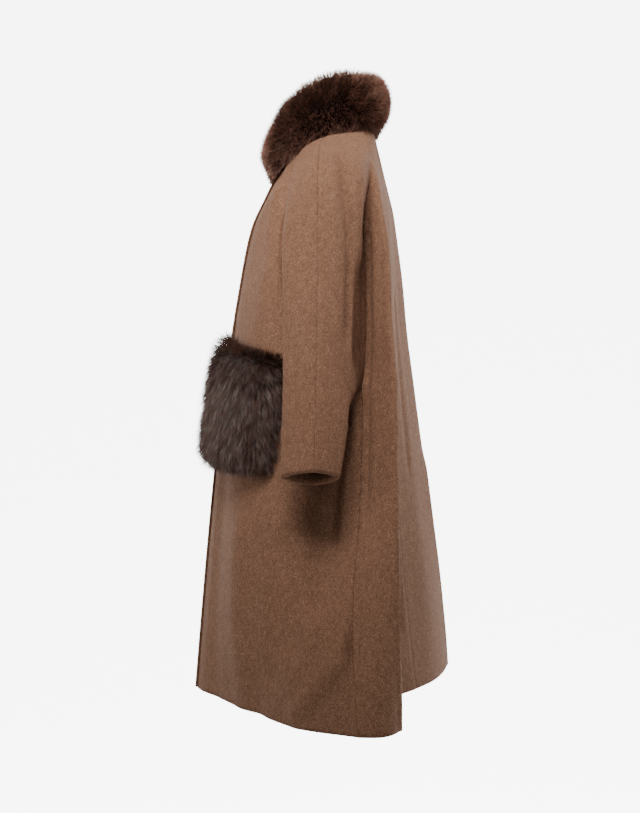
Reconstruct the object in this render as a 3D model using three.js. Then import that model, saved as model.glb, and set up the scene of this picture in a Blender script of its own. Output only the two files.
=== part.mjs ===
// Swing coat with a fur stand collar and fur patch pockets, filled out with no wearer.
// Millimetres. +Z up, the coat faces -Y, the wearer's left is +X.
// The origin is between the wearer's shoulders, level with the side of the neck.
import * as THREE from "three";

// Cloth and making up.
const CLOTH = 3; // double-faced wool
const CUFF_FOLD = 7; // cuff edge with its turned hem
const SEAM_GAP = 0.3; // between two pieces that are sewn together
const CROWDED_TRIM = 1.3; // taken off a seam's edge under the arm and at the cuff
const LAP = 35; // how far each front passes the centre front
const LAP_RISE = 5; // how much the front falls back over that width
const LAP_CLEARANCE = 0.4; // between the two lapped fronts

// Levels.
const UNDERARM_Z = -421;
const HEM_Z = -937;
const CUFF_OUTER_Z = -547;
const CUFF_MIDDLE_Z = -560;
const CUFF_INNER_Z = -573;

// Neck seam: an oval, low in front and high behind.
const NECK = { halfWidth: 80, halfDepth: 80, centreY: 14, frontZ: -46, backZ: 27 };

// Rows and columns of the panels.
const UPPER_ROWS = 16;
const SKIRT_ROWS = 18;
const SLEEVE_ROWS = 7;

// Fur collar.
const COLLAR = {
  overlap: 9, // fur lying on the cloth below the neck seam
  lift: 1.6, // under the edge of that fur
  height: 93,
  rise: 10, // more behind, less in front
  crest: 10, // more at the sides of the neck
  depth: 44, // from the inside of the fur to its outside
  leanBack: 4, // how far the ring's middle stands outside the neck seam, behind
  leanFront: 20, // and in front
  endGap: 0.6, // each end to the centre front
};

// Fur patch pocket, measured on the front panel.
const POCKET = {
  fromCentre: 1.55, // columns from the centre front, as a share of the panel's spans
  toSide: 3.3,
  topZ: -342,
  topFall: 30, // the top edge falls this much towards the side
  bottomZ: -548,
  bottomFall: 14,
  rest: 0.5, // from the cloth to the pocket's back
  edge: 9, // fur depth at the edges
  crown: 33, // and in the middle
  steps: 12,
};

const WOOL = new THREE.MeshStandardMaterial({ color: 0x7c5c4a, roughness: 0.95, metalness: 0 });
const FUR = new THREE.MeshStandardMaterial({ color: 0x33231c, roughness: 0.9, metalness: 0 });

// Each line runs down the coat. neck is its angle round the neck seam from the front, in degrees.
// rows: height z, distance x from the middle, depth y.
const LINES = {
  centreFront: {
    neck: 0,
    rows: [[-62, 0, -80], [-91, 0, -95], [-132, 0, -115], [-174, 0, -127], [-237, 0, -139],
      [-320, 0, -153], [-492, 0, -177], [-573, 0, -186], [-699, 0, -198], [-826, 0, -209],
      [-937, 0, -218]],
  },
  frontFold: {
    neck: 44,
    rows: [[-62, 82, -47], [-90, 99, -60], [-128, 109, -67], [-160, 116, -74], [-235, 118, -93],
      [-320, 112, -112], [-421, 106, -131], [-573, 102, -150], [-699, 98, -163], [-826, 94, -173],
      [-937, 90, -181]],
  },
  frontSide: {
    neck: 53,
    rows: [[-62, 96, -38], [-90, 112, -44], [-128, 126, -50], [-160, 138, -56], [-235, 166, -62],
      [-320, 184, -64], [-421, 196, -72], [-573, 200, -92], [-699, 203, -104], [-826, 198, -110],
      [-937, 190, -109]],
  },
  underSleeve: {
    neck: 58,
    rows: [[-62, 102, -35], [-90, 118, -37], [-128, 133, -42], [-160, 148, -46], [-235, 176, -38],
      [-320, 196, -14], [-421, 224, 22], [-500, 246, 14], [-573, 268, 10], [-699, 306, 6],
      [-826, 338, 10], [-937, 358, 22]],
  },
  raglanFront: {
    neck: 63,
    rows: [[-58, 104, -32], [-90, 116, -29], [-128, 131, -31], [-162, 144, -33], [-195, 157, -27],
      [-240, 170, -9], [-300, 181, 22], [-360, 194, 58], [-421, 212, 96]],
  },
  sleeveFront: {
    neck: 78,
    rows: [[-26, 112, -14], [-60, 150, -23], [-100, 182, -25], [-140, 205, -25], [-190, 230, -24],
      [-245, 252, -21], [-300, 270, -20], [-360, 285, -18], [-440, 300, -17], [-560, 326, -15]],
  },
  overarm: {
    neck: 95,
    rows: [[-10, 120, 19], [-28, 155, 21], [-52, 187, 24], [-90, 215, 27], [-140, 237, 29],
      [-188, 252, 31], [-260, 276, 35], [-333, 303, 38], [-410, 329, 40], [-486, 352, 42],
      [-547, 371, 43]],
  },
  sleeveBack: {
    neck: 116,
    rows: [[-12, 112, 62], [-36, 150, 80], [-70, 184, 89], [-120, 207, 90], [-186, 225, 88],
      [-282, 246, 84], [-331, 261, 82], [-394, 276, 83], [-457, 291, 84], [-503, 305, 83],
      [-560, 322, 76]],
  },
  raglanBack: {
    neck: 137,
    rows: [[-4, 84, 90], [-39, 103, 100], [-95, 130, 98], [-136, 148, 93], [-229, 162, 97],
      [-321, 177, 100], [-390, 194, 99], [-421, 212, 96]],
  },
  underarmSeam: { rows: [[-421, 212, 96], [-445, 229, 80], [-480, 248, 60], [-520, 268, 46], [-573, 291, 34]] },
  sideSeam: {
    rows: [[-421, 212, 96], [-457, 221, 99], [-551, 249, 100], [-643, 281, 100], [-708, 307, 97],
      [-803, 342, 97], [-872, 374, 105], [-937, 402, 113]],
  },
};

// The lines of the back hang differently on the two sides: a sharp fold on the left, a full round on the right.
const BACK_LINES = {
  left: {
    backSide: {
      neck: 146,
      rows: [[-58, 106, 105], [-102, 138, 109], [-171, 165, 115], [-229, 180, 118], [-313, 200, 120],
        [-385, 219, 124], [-457, 244, 126], [-551, 273, 130], [-666, 309, 134], [-766, 346, 139],
        [-878, 384, 146], [-937, 398, 149]],
    },
    backFold: {
      neck: 153,
      rows: [[-58, 97, 107], [-102, 130, 115], [-171, 165, 129], [-231, 185, 136], [-313, 210, 141],
        [-385, 232, 149], [-457, 255, 153], [-551, 280, 157], [-666, 310, 161], [-766, 328, 165],
        [-878, 340, 169], [-937, 342, 170]],
    },
    backHollow: {
      neck: 167,
      rows: [[-58, 52, 109], [-171, 76, 120], [-313, 98, 121], [-457, 116, 120], [-551, 128, 119],
        [-666, 138, 118], [-766, 147, 117], [-937, 154, 116]],
    },
  },
  right: {
    backSide: {
      neck: 146,
      rows: [[-58, 106, 105], [-102, 138, 109], [-171, 164, 112], [-229, 180, 114], [-313, 202, 117],
        [-385, 222, 121], [-457, 246, 125], [-551, 272, 132], [-666, 302, 140], [-766, 330, 149],
        [-878, 356, 160], [-937, 366, 164]],
    },
    backFold: {
      neck: 153,
      rows: [[-58, 97, 107], [-102, 128, 114], [-171, 152, 122], [-231, 168, 128], [-313, 188, 134],
        [-385, 204, 142], [-457, 220, 150], [-551, 238, 161], [-666, 256, 174], [-766, 268, 186],
        [-878, 278, 197], [-937, 282, 201]],
    },
    backHollow: {
      neck: 167,
      rows: [[-58, 52, 109], [-171, 84, 121], [-313, 104, 130], [-457, 112, 145], [-551, 112, 155],
        [-666, 110, 168], [-766, 108, 180], [-937, 106, 196]],
    },
  },
};
const CENTRE_BACK = {
  neck: 180,
  rows: [[-25, 0, 101], [-70, 0, 111], [-115, 0, 118], [-178, 0, 122], [-240, 0, 124],
    [-445, 0, 127], [-550, 0, 131], [-650, 0, 138], [-741, 0, 146], [-826, 0, 155],
    [-898, 0, 163], [-937, 0, 168]],
};

const mix = (a, b, t) => a + (b - a) * t;

function neckPoint(degrees) {
  const a = THREE.MathUtils.degToRad(degrees);
  const y = NECK.centreY - NECK.halfDepth * Math.cos(a);
  const z = mix(NECK.frontZ, NECK.backZ, Math.sin(a / 2) ** 1.1);
  return [z, NECK.halfWidth * Math.sin(a), y];
}

// A line's point at height z, by a smooth curve through its rows.
function lineAt(line, z) {
  const rows = line.neck === undefined ? line.rows : [neckPoint(line.neck), ...line.rows];
  const last = rows.length - 1;
  let i = 0;
  while (i < last - 1 && z < rows[i + 1][0]) i += 1;
  const [za, xa, ya] = rows[i];
  const [zb, xb, yb] = rows[i + 1];
  const slope = (k, axis) => {
    const p = rows[Math.max(k - 1, 0)];
    const q = rows[Math.min(k + 1, last)];
    return (q[axis] - p[axis]) / (q[0] - p[0]);
  };
  const h = zb - za;
  const t = THREE.MathUtils.clamp((z - za) / h, 0, 1);
  const along = (axis, a, b) =>
    (2 * t ** 3 - 3 * t ** 2 + 1) * a +
    (t ** 3 - 2 * t ** 2 + t) * h * slope(i, axis) +
    (3 * t ** 2 - 2 * t ** 3) * b +
    (t ** 3 - t ** 2) * h * slope(i + 1, axis);
  return new THREE.Vector3(along(1, xa, xb), along(2, ya, yb), z);
}

// A line's point in an upper row, at share t from the neck seam to the underarm.
function upperPoint(line, t) {
  return lineAt(line, mix(neckPoint(line.neck)[0], UNDERARM_Z, t));
}

// Points of a smooth curve that passes through stops, with steps[i] steps in span i.
function curveThrough(before, stops, after, steps) {
  const curve = new THREE.CatmullRomCurve3([before, ...stops, after], false, "centripetal");
  const spans = stops.length + 1;
  const points = [curve.getPoint(1 / spans)];
  steps.forEach((n, span) => {
    for (let i = 1; i <= n; i += 1) points.push(curve.getPoint((1 + span + i / n) / spans));
  });
  return points;
}

const beyond = (end, next) => end.clone().multiplyScalar(2).sub(next);
const acrossMiddle = (p) => new THREE.Vector3(-p.x, p.y, p.z);

const FRONT_STEPS = [1, 1, 2, 3, 3, 3];
const SLEEVE_STEPS = [3, 3];
const BACK_STEPS = [2, 2, 3, 3];

function frontRow(pointOf, seam) {
  const middle = pointOf(LINES.centreFront);
  const lap = new THREE.Vector3(LAP, middle.y + LAP_RISE, middle.z);
  const fold = pointOf(LINES.frontFold);
  const stops = [acrossMiddle(lap), middle, lap, fold, pointOf(LINES.frontSide), pointOf(LINES.underSleeve), seam];
  return curveThrough(acrossMiddle(fold), stops, beyond(seam, stops[5]), FRONT_STEPS);
}

function backRow(pointOf, seam, side, other) {
  const lines = BACK_LINES[side];
  const stops = [seam, pointOf(lines.backSide), pointOf(lines.backFold), pointOf(lines.backHollow), pointOf(CENTRE_BACK)];
  const opposite = acrossMiddle(pointOf(BACK_LINES[other].backHollow));
  return curveThrough(beyond(seam, stops[1]), stops, opposite, BACK_STEPS);
}

// Rows of one half of the coat, all on the wearer's left. Each row runs from the front to the back.
function halfCoat(side, other) {
  const panels = { front: [], sleeveFront: [], sleeveBack: [], back: [] };
  for (let i = 0; i <= UPPER_ROWS; i += 1) {
    const pointOf = (line) => upperPoint(line, i / UPPER_ROWS);
    const front = pointOf(LINES.raglanFront);
    const back = pointOf(LINES.raglanBack);
    const fore = pointOf(LINES.sleeveFront);
    const aft = pointOf(LINES.sleeveBack);
    const over = pointOf(LINES.overarm);
    panels.front.push(frontRow(pointOf, front));
    panels.sleeveFront.push(curveThrough(beyond(front, fore), [front, fore, over], aft, SLEEVE_STEPS));
    panels.sleeveBack.push(curveThrough(fore, [over, aft, back], beyond(back, aft), SLEEVE_STEPS));
    panels.back.push(backRow(pointOf, back, side, other));
  }
  for (let i = 1; i <= SKIRT_ROWS; i += 1) {
    const z = mix(UNDERARM_Z, HEM_Z, i / SKIRT_ROWS);
    const pointOf = (line) => lineAt(line, z);
    const seam = pointOf(LINES.sideSeam);
    panels.front.push(frontRow(pointOf, seam));
    panels.back.push(backRow(pointOf, seam, side, other));
  }
  for (let i = 1; i <= SLEEVE_ROWS; i += 1) {
    const t = i / SLEEVE_ROWS;
    const inner = lineAt(LINES.underarmSeam, mix(UNDERARM_Z, CUFF_INNER_Z, t));
    const fore = lineAt(LINES.sleeveFront, mix(UNDERARM_Z, CUFF_MIDDLE_Z, t));
    const over = lineAt(LINES.overarm, mix(UNDERARM_Z, CUFF_OUTER_Z, t));
    const aft = lineAt(LINES.sleeveBack, mix(UNDERARM_Z, CUFF_MIDDLE_Z, t));
    const ahead = beyond(inner, fore).lerp(aft, t);
    const behind = beyond(inner, aft).lerp(fore, t);
    panels.sleeveFront.push(curveThrough(ahead, [inner, fore, over], aft, SLEEVE_STEPS));
    panels.sleeveBack.push(curveThrough(fore, [over, aft, inner], behind, SLEEVE_STEPS));
  }
  return panels;
}

const mirrored = (rows) => rows.map((row) => row.map(acrossMiddle));
const keyOf = (p) => [p.x, p.y, p.z].map((v) => Math.round(v * 500)).join(",");

// Outward directions at every point of the coat, shared by the pieces that meet there.
function outwardDirections(sheets) {
  const sums = new Map();
  const add = (a, b, c) => {
    const n = b.clone().sub(a).cross(c.clone().sub(a));
    [a, b, c].forEach((p) => {
      const key = keyOf(p);
      if (!sums.has(key)) sums.set(key, new THREE.Vector3());
      sums.get(key).add(n);
    });
  };
  sheets.forEach(({ rows, turned }) => {
    for (let i = 0; i + 1 < rows.length; i += 1) {
      for (let j = 0; j + 1 < rows[0].length; j += 1) {
        const [a, b, c, d] = [rows[i][j], rows[i + 1][j], rows[i + 1][j + 1], rows[i][j + 1]];
        if (turned) {
          add(a, c, b);
          add(a, d, c);
        } else {
          add(a, b, c);
          add(a, c, d);
        }
      }
    }
  });
  sums.forEach((n) => n.normalize());
  return (p) => sums.get(keyOf(p));
}

// A closed body between two sheets of points with the same rows and columns.
function bodyBetween(outer, inner, turned) {
  const rows = outer.length;
  const columns = outer[0].length;
  const positions = [...outer.flat(), ...inner.flat()].flatMap((p) => [p.x, p.y, p.z]);
  const index = [];
  const at = (side, i, j) => side * rows * columns + i * columns + j;
  const quad = (a, b, c, d) => {
    if (turned) index.push(a, c, b, a, d, c);
    else index.push(a, b, c, a, c, d);
  };
  for (let i = 0; i + 1 < rows; i += 1) {
    for (let j = 0; j + 1 < columns; j += 1) {
      quad(at(0, i, j), at(0, i + 1, j), at(0, i + 1, j + 1), at(0, i, j + 1));
      const [a, b, c, d] = [at(1, i, j), at(1, i + 1, j), at(1, i + 1, j + 1), at(1, i, j + 1)];
      if (turned) index.push(a, b, c, a, c, d);
      else index.push(a, c, b, a, d, c);
    }
  }
  const rim = [];
  for (let j = 0; j + 1 < columns; j += 1) rim.push([0, j]);
  for (let i = 0; i + 1 < rows; i += 1) rim.push([i, columns - 1]);
  for (let j = columns - 1; j > 0; j -= 1) rim.push([rows - 1, j]);
  for (let i = rows - 1; i > 0; i -= 1) rim.push([i, 0]);
  rim.forEach(([i, j], k) => {
    const [p, q] = rim[(k + 1) % rim.length];
    quad(at(0, i, j), at(0, p, q), at(1, p, q), at(1, i, j));
  });
  const geometry = new THREE.BufferGeometry();
  geometry.setAttribute("position", new THREE.Float32BufferAttribute(positions, 3));
  geometry.setIndex(index);
  return geometry;
}

// Moves the side edges of a sheet of points towards its middle by half the seam gap,
// and by more where four pieces meet under the arm and where the cuff is folded.
function trimSides(rows, trimFirst, trimLast, cuffRow) {
  return rows.map((row, i) => {
    const end = row.length - 1;
    const crowded = Math.abs(i - UPPER_ROWS) <= 2 || Math.abs(i - cuffRow) <= 1;
    const moved = row.map((p) => p.clone());
    const shift = (k, toward) =>
      moved[k].add(row[toward].clone().sub(row[k]).setLength(crowded ? CROWDED_TRIM : SEAM_GAP / 2));
    if (trimFirst) shift(0, 1);
    if (trimLast) shift(end, end - 1);
    return moved;
  });
}

const halves = { left: halfCoat("left", "right"), right: halfCoat("right", "left") };
const sheets = [];
Object.entries(halves).forEach(([side, panels]) => {
  Object.entries(panels).forEach(([piece, rows]) => {
    const turned = side === "right";
    sheets.push({ side, piece, turned, rows: turned ? mirrored(rows) : rows });
  });
});
const outward = outwardDirections(sheets);
const sheetOf = (side, piece) => sheets.find((s) => s.side === side && s.piece === piece);

// How far the left front lies under the right one.
function underlap(side, piece, p) {
  if (side !== "left" || piece !== "front") return 0;
  return (CLOTH + LAP_CLEARANCE) * (1 - THREE.MathUtils.smoothstep(p.x, LAP + 2, LAP + 45));
}

function wallOf({ side, piece, turned, rows }) {
  const last = rows.length - 1;
  const cuff = (i) => (piece.startsWith("sleeve") && i === last ? CUFF_FOLD : CLOTH);
  const outer = rows.map((row) =>
    row.map((p) => p.clone().addScaledVector(outward(p), -underlap(side, piece, p))),
  );
  const inner = outer.map((row, i) =>
    row.map((p, j) => p.clone().addScaledVector(outward(rows[i][j]), -cuff(i))),
  );
  const trimFirst = piece !== "front";
  const cuffRow = piece.startsWith("sleeve") ? last : -9;
  const trimmed = (sheet) => trimSides(sheet, trimFirst, true, cuffRow);
  return bodyBetween(trimmed(outer), trimmed(inner), turned);
}

// One section of the collar over a column of the panel below it.
function collarSection(top, next) {
  const n = outward(top);
  const inside = top.clone().addScaledVector(n, -CLOTH);
  const up = top.clone().sub(next).normalize();
  const radial = new THREE.Vector3(top.x, top.y - NECK.centreY, 0).normalize();
  const front = (1 - radial.y) / 2;
  const slant = mix(COLLAR.rise, -COLLAR.rise, front) + COLLAR.crest * Math.sin(Math.PI * front);
  const height = COLLAR.height + slant;
  const lean = mix(COLLAR.leanBack, COLLAR.leanFront, front ** 2);
  const base = Math.min(top.z, inside.z);
  const ring = (out, level) =>
    new THREE.Vector3(top.x, top.y, base + level * height)
      .addScaledVector(radial, lean * Math.min(1, 0.3 + level * 1.6) + out * COLLAR.depth);
  const lip = top.clone().lerp(next, COLLAR.overlap / top.distanceTo(next)).addScaledVector(outward(next), COLLAR.lift);
  const sewn = top.clone().addScaledVector(n, 2 * SEAM_GAP).addScaledVector(up, 2 * SEAM_GAP);
  const inner = inside.clone().addScaledVector(up, 3 * SEAM_GAP);
  return [
    inner, sewn, lip, ring(0.42, 0.16), ring(0.52, 0.34), ring(0.53, 0.54), ring(0.46, 0.74),
    ring(0.3, 0.9), ring(0.06, 0.98), ring(-0.2, 0.93), ring(-0.4, 0.76), ring(-0.47, 0.54),
    ring(-0.43, 0.32), ring(-0.3, 0.13),
  ];
}

// A closed body through a row of closed sections, capped at both ends.
function bodyThrough(sections) {
  const size = sections[0].length;
  const positions = sections.flat().flatMap((p) => [p.x, p.y, p.z]);
  const index = [];
  for (let k = 0; k + 1 < sections.length; k += 1) {
    for (let i = 0; i < size; i += 1) {
      const j = (i + 1) % size;
      const [a, b, c, d] = [k * size + i, k * size + j, (k + 1) * size + j, (k + 1) * size + i];
      index.push(a, c, b, a, d, c);
    }
  }
  const end = (sections.length - 1) * size;
  for (let i = 1; i + 1 < size; i += 1) index.push(0, i, i + 1, end, end + i + 1, end + i);
  const geometry = new THREE.BufferGeometry();
  geometry.setAttribute("position", new THREE.Float32BufferAttribute(positions, 3));
  geometry.setIndex(index);
  return geometry;
}

function collar() {
  const columnsOf = (side) => {
    const columns = [];
    ["front", "sleeveFront", "sleeveBack", "back"].forEach((piece) => {
      const { rows } = sheetOf(side, piece);
      const start = piece === "front" ? FRONT_STEPS[0] : 1;
      for (let j = start; j < rows[0].length; j += 1) columns.push(collarSection(rows[0][j], rows[1][j]));
    });
    return columns;
  };
  const left = columnsOf("left");
  const right = columnsOf("right");
  left[0].forEach((p) => { p.x += COLLAR.endGap; });
  right[0].forEach((p) => { p.x -= COLLAR.endGap; });
  return bodyThrough([...left, ...right.slice(0, -1).reverse()]);
}

// A point of a sheet between its rows and columns, on the flat faces that the wall is made of.
function onSheet(rows, row, column) {
  const i = Math.min(Math.floor(row), rows.length - 2);
  const j = Math.min(Math.floor(column), rows[0].length - 2);
  const [u, v] = [row - i, column - j];
  const [a, b, c, d] = [rows[i][j], rows[i + 1][j], rows[i + 1][j + 1], rows[i][j + 1]];
  const corner = u > v ? b : d;
  const [first, second] = u > v ? [u, v] : [v, u];
  return a.clone()
    .addScaledVector(corner.clone().sub(a), first)
    .addScaledVector(c.clone().sub(corner), second);
}

function pocket(side) {
  const { rows, turned } = sheetOf(side, "front");
  const normals = rows.map((row) => row.map((p) => outward(p)));
  const firstColumn = FRONT_STEPS[0] + FRONT_STEPS[1];
  const columnOf = (share) => {
    const spans = FRONT_STEPS.slice(2);
    let column = firstColumn;
    spans.forEach((n, k) => { column += n * THREE.MathUtils.clamp(share - 1 - k, 0, 1); });
    return column;
  };
  const from = columnOf(POCKET.fromCentre);
  const to = columnOf(POCKET.toSide);
  const rowAt = (column, z) => {
    let i = UPPER_ROWS / 2;
    while (onSheet(rows, i + 1, column).z > z) i += 1;
    const [a, b] = [onSheet(rows, i, column).z, onSheet(rows, i + 1, column).z];
    return i + (a - z) / (a - b);
  };
  const columns = [from];
  for (let c = Math.ceil(2 * from) / 2; c < to; c += 0.5) columns.push(c);
  columns.push(to);
  const outer = [];
  const inner = [];
  for (let i = 0; i <= POCKET.steps; i += 1) {
    const down = i / POCKET.steps;
    outer.push([]);
    inner.push([]);
    columns.forEach((column) => {
      const out = (column - from) / (to - from);
      const top = POCKET.topZ - POCKET.topFall * out;
      const bottom = POCKET.bottomZ - POCKET.bottomFall * out;
      const row = rowAt(column, mix(top, bottom, down));
      const p = onSheet(rows, row, column);
      const n = onSheet(normals, row, column).normalize();
      const fullness = (Math.sin(Math.PI * down) * Math.sin(Math.PI * out)) ** 0.35;
      inner[i].push(p.clone().addScaledVector(n, POCKET.rest));
      outer[i].push(p.clone().addScaledVector(n, POCKET.rest + mix(POCKET.edge, POCKET.crown, fullness)));
    });
  }
  return bodyBetween(outer, inner, turned);
}

const coat = new THREE.Group();
const add = (name, geometry, material) => {
  const mesh = new THREE.Mesh(geometry, material);
  mesh.name = name;
  coat.add(mesh);
};
const NODE_NAMES = { front: "front", sleeveFront: "sleeve_front", sleeveBack: "sleeve_back", back: "back" };
sheets.forEach((sheet) => add(`${NODE_NAMES[sheet.piece]}_${sheet.side}`, wallOf(sheet), WOOL));
add("collar", collar(), FUR);
add("pocket_left", pocket("left"), FUR);
add("pocket_right", pocket("right"), FUR);

export default coat;
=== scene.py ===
# %% [markdown]
# # A swing coat with a fur collar and fur pockets
#
# The coat is brown double-faced wool, filled out as if worn, with a fur stand collar and a fur patch
# pocket on each front. The frame holds its stiff walls at their real size. This script lays finer
# cloth and real hair over them. Everything is in metres, with Z up and the coat facing -Y.

# %% Load the coat's walls
import math
import bpy
import numpy as np
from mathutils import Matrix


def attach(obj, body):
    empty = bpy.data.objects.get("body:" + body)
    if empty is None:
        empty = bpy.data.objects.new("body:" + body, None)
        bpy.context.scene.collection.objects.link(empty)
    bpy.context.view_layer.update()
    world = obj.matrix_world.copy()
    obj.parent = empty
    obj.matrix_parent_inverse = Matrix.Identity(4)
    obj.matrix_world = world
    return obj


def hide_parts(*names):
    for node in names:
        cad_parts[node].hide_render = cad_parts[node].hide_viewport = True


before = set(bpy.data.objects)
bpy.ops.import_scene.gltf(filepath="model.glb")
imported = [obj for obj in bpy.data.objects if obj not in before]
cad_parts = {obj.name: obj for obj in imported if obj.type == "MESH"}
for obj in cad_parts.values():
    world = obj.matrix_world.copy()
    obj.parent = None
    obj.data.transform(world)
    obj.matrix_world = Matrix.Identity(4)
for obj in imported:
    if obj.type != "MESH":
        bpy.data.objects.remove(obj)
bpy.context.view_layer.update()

print("walls:", sorted(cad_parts))

# %% [markdown]
# Colours are written as the hex values that an eye picks off the cloth. Blender mixes light in
# linear numbers, so one function turns a hex value to linear. A second one adds a shader node with
# its settings and its links in one line, which keeps each material readable.

# %% Colour and node helpers
def linear(hex_colour):
    values = [int(hex_colour[i:i + 2], 16) / 255 for i in (1, 3, 5)]
    return [v / 12.92 if v <= 0.04045 else ((v + 0.055) / 1.055) ** 2.4 for v in values] + [1.0]


def add_node(material, kind, settings=None, links=None):
    """Adds a node. settings are attributes or socket values, links are socket: (node, output)."""
    tree = material.node_tree
    node = tree.nodes.new(kind)
    for key, value in (settings or {}).items():
        if isinstance(key, str) and hasattr(node, key):
            setattr(node, key, value)
        else:
            node.inputs[key].default_value = value
    for socket, (source, output) in (links or {}).items():
        tree.links.new(source.outputs[output], node.inputs[socket])
    return node


def ramp(node, stops):
    """Gives a Color Ramp its stops, as (position, hex colour)."""
    elements = node.color_ramp.elements
    while len(elements) < len(stops):
        elements.new(0.5)
    for element, (position, hex_colour) in zip(elements, stops):
        element.position = position
        element.color = linear(hex_colour)
    return node


# %% [markdown]
# The camera stands 2.7 m from the coat on its left side, a little towards the back, level with
# the middle of the coat. An 87 mm lens on a 36 mm film keeps the shape close to the real one.

# %% Camera
CAMERA_TURN = math.radians(8)  # from square to the side, towards the back
CAMERA_DISTANCE = 2.7
CAMERA_HEIGHT = -0.445
PHOTO_WIDTH, FOCAL_LENGTH, PHOTO_SHIFT = 640, 1555, -3.5  # pixels of the photo
FILM_WIDTH = 36
camera_x, camera_y = CAMERA_DISTANCE * math.cos(CAMERA_TURN), CAMERA_DISTANCE * math.sin(CAMERA_TURN)
bpy.ops.object.select_all(action="DESELECT")
bpy.ops.object.camera_add(
    location=(camera_x, camera_y, CAMERA_HEIGHT),
    rotation=(math.radians(90), 0, math.radians(90) + CAMERA_TURN),
)
camera = bpy.context.object
camera.name = "camera_side"
camera.data.sensor_fit = "HORIZONTAL"
camera.data.sensor_width = FILM_WIDTH
camera.data.lens = FILM_WIDTH * FOCAL_LENGTH / PHOTO_WIDTH
camera.data.shift_y = PHOTO_SHIFT / PHOTO_WIDTH
bpy.context.scene.camera = camera
print("lens", round(camera.data.lens, 1), "mm")

# %% [markdown]
# The studio is a pale floor well below the coat and a tall sheet of lit white paper behind it, as in a
# catalogue studio. A large lamp stands high on the camera's side and leaves a soft shadow under the
# cuff. Two smaller ones fill the front and the back. All three aim high and spread little, so that
# the skirt stays darker than the shoulder. The lit paper edges the fur.

# %% Floor, backdrop and light
def plain_paint(name, hex_colour, glow=0.0):
    paint = bpy.data.materials.new(name)
    paint.use_nodes = True
    shader = paint.node_tree.nodes["Principled BSDF"]
    shader.inputs["Base Color"].default_value = linear(hex_colour)
    shader.inputs["Roughness"].default_value = 0.9
    shader.inputs["Emission Color"].default_value = (1, 1, 1, 1)
    shader.inputs["Emission Strength"].default_value = glow
    return paint


def stage_plane(name, size, place, turn, paint):
    bpy.ops.object.select_all(action="DESELECT")
    bpy.ops.mesh.primitive_plane_add(size=size, location=place, rotation=turn)
    plane = bpy.context.object
    plane.name = name
    plane.data.materials.append(paint)


floor_paint = plain_paint("matt_white_floor", "#f4f3f1")
lit_paper = plain_paint("lit_white_paper", "#f4f3f1", 6.5)
stage_plane("floor", 40, (0, 0, -2.05), (0, 0, 0), floor_paint)
stage_plane("backdrop", 6, (-3.1, 0, 0.9), (0, math.radians(90), CAMERA_TURN), lit_paper)

world = bpy.data.worlds.new("studio")
bpy.context.scene.world = world
world.use_nodes = True
background = world.node_tree.nodes["Background"]
background.inputs["Color"].default_value = (1, 1, 1, 1)
background.inputs["Strength"].default_value = 0.11


def soft_lamp(name, place, aim, size, watts, spread):
    """A square lamp at place that looks at aim. Its spread is in degrees."""
    bpy.ops.object.light_add(type="AREA", location=place)
    lamp = bpy.context.object
    lamp.name = name
    lamp.data.size = size
    lamp.data.energy = watts
    lamp.data.spread = math.radians(spread)
    ahead = np.array(aim) - np.array(place)
    flat = math.hypot(ahead[0], ahead[1])
    lamp.rotation_euler = (math.atan2(flat, -ahead[2]), 0, math.atan2(ahead[1], ahead[0]) - math.pi / 2)


soft_lamp("lamp_key", (1.4, -0.15, 1.5), (0.2, 0, 0.28), 1.2, 12.6, 56)
soft_lamp("lamp_front", (1.3, -2.1, 0.4), (0.0, -0.1, 0.15), 1.2, 5.9, 76)
soft_lamp("lamp_back", (0.0, 2.4, 0.6), (0.1, 0.1, 0.1), 1.0, 7.2, 70)

# %% [markdown]
# Each panel is drawn from the lines that run down it, as a dressmaker would draw the cut on a stand:
# the centre front, the fold of the chest, the seams, the fold of the back. The cloth then follows the
# same form as the walls below it. The sizes are in millimetres.

# %% Lines of the coat
UNDERARM_Z, HEM_Z = -421, -937
CUFF_OUTER_Z, CUFF_MIDDLE_Z, CUFF_INNER_Z = -547, -560, -573
CLOTH, CUFF_FOLD, LAP, LAP_RISE = 3.0, 9.0, 35.0, 5.0
NECK_WIDTH, NECK_DEPTH, NECK_Y, NECK_FRONT_Z, NECK_BACK_Z = 80, 80, 14, -46, 27

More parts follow.
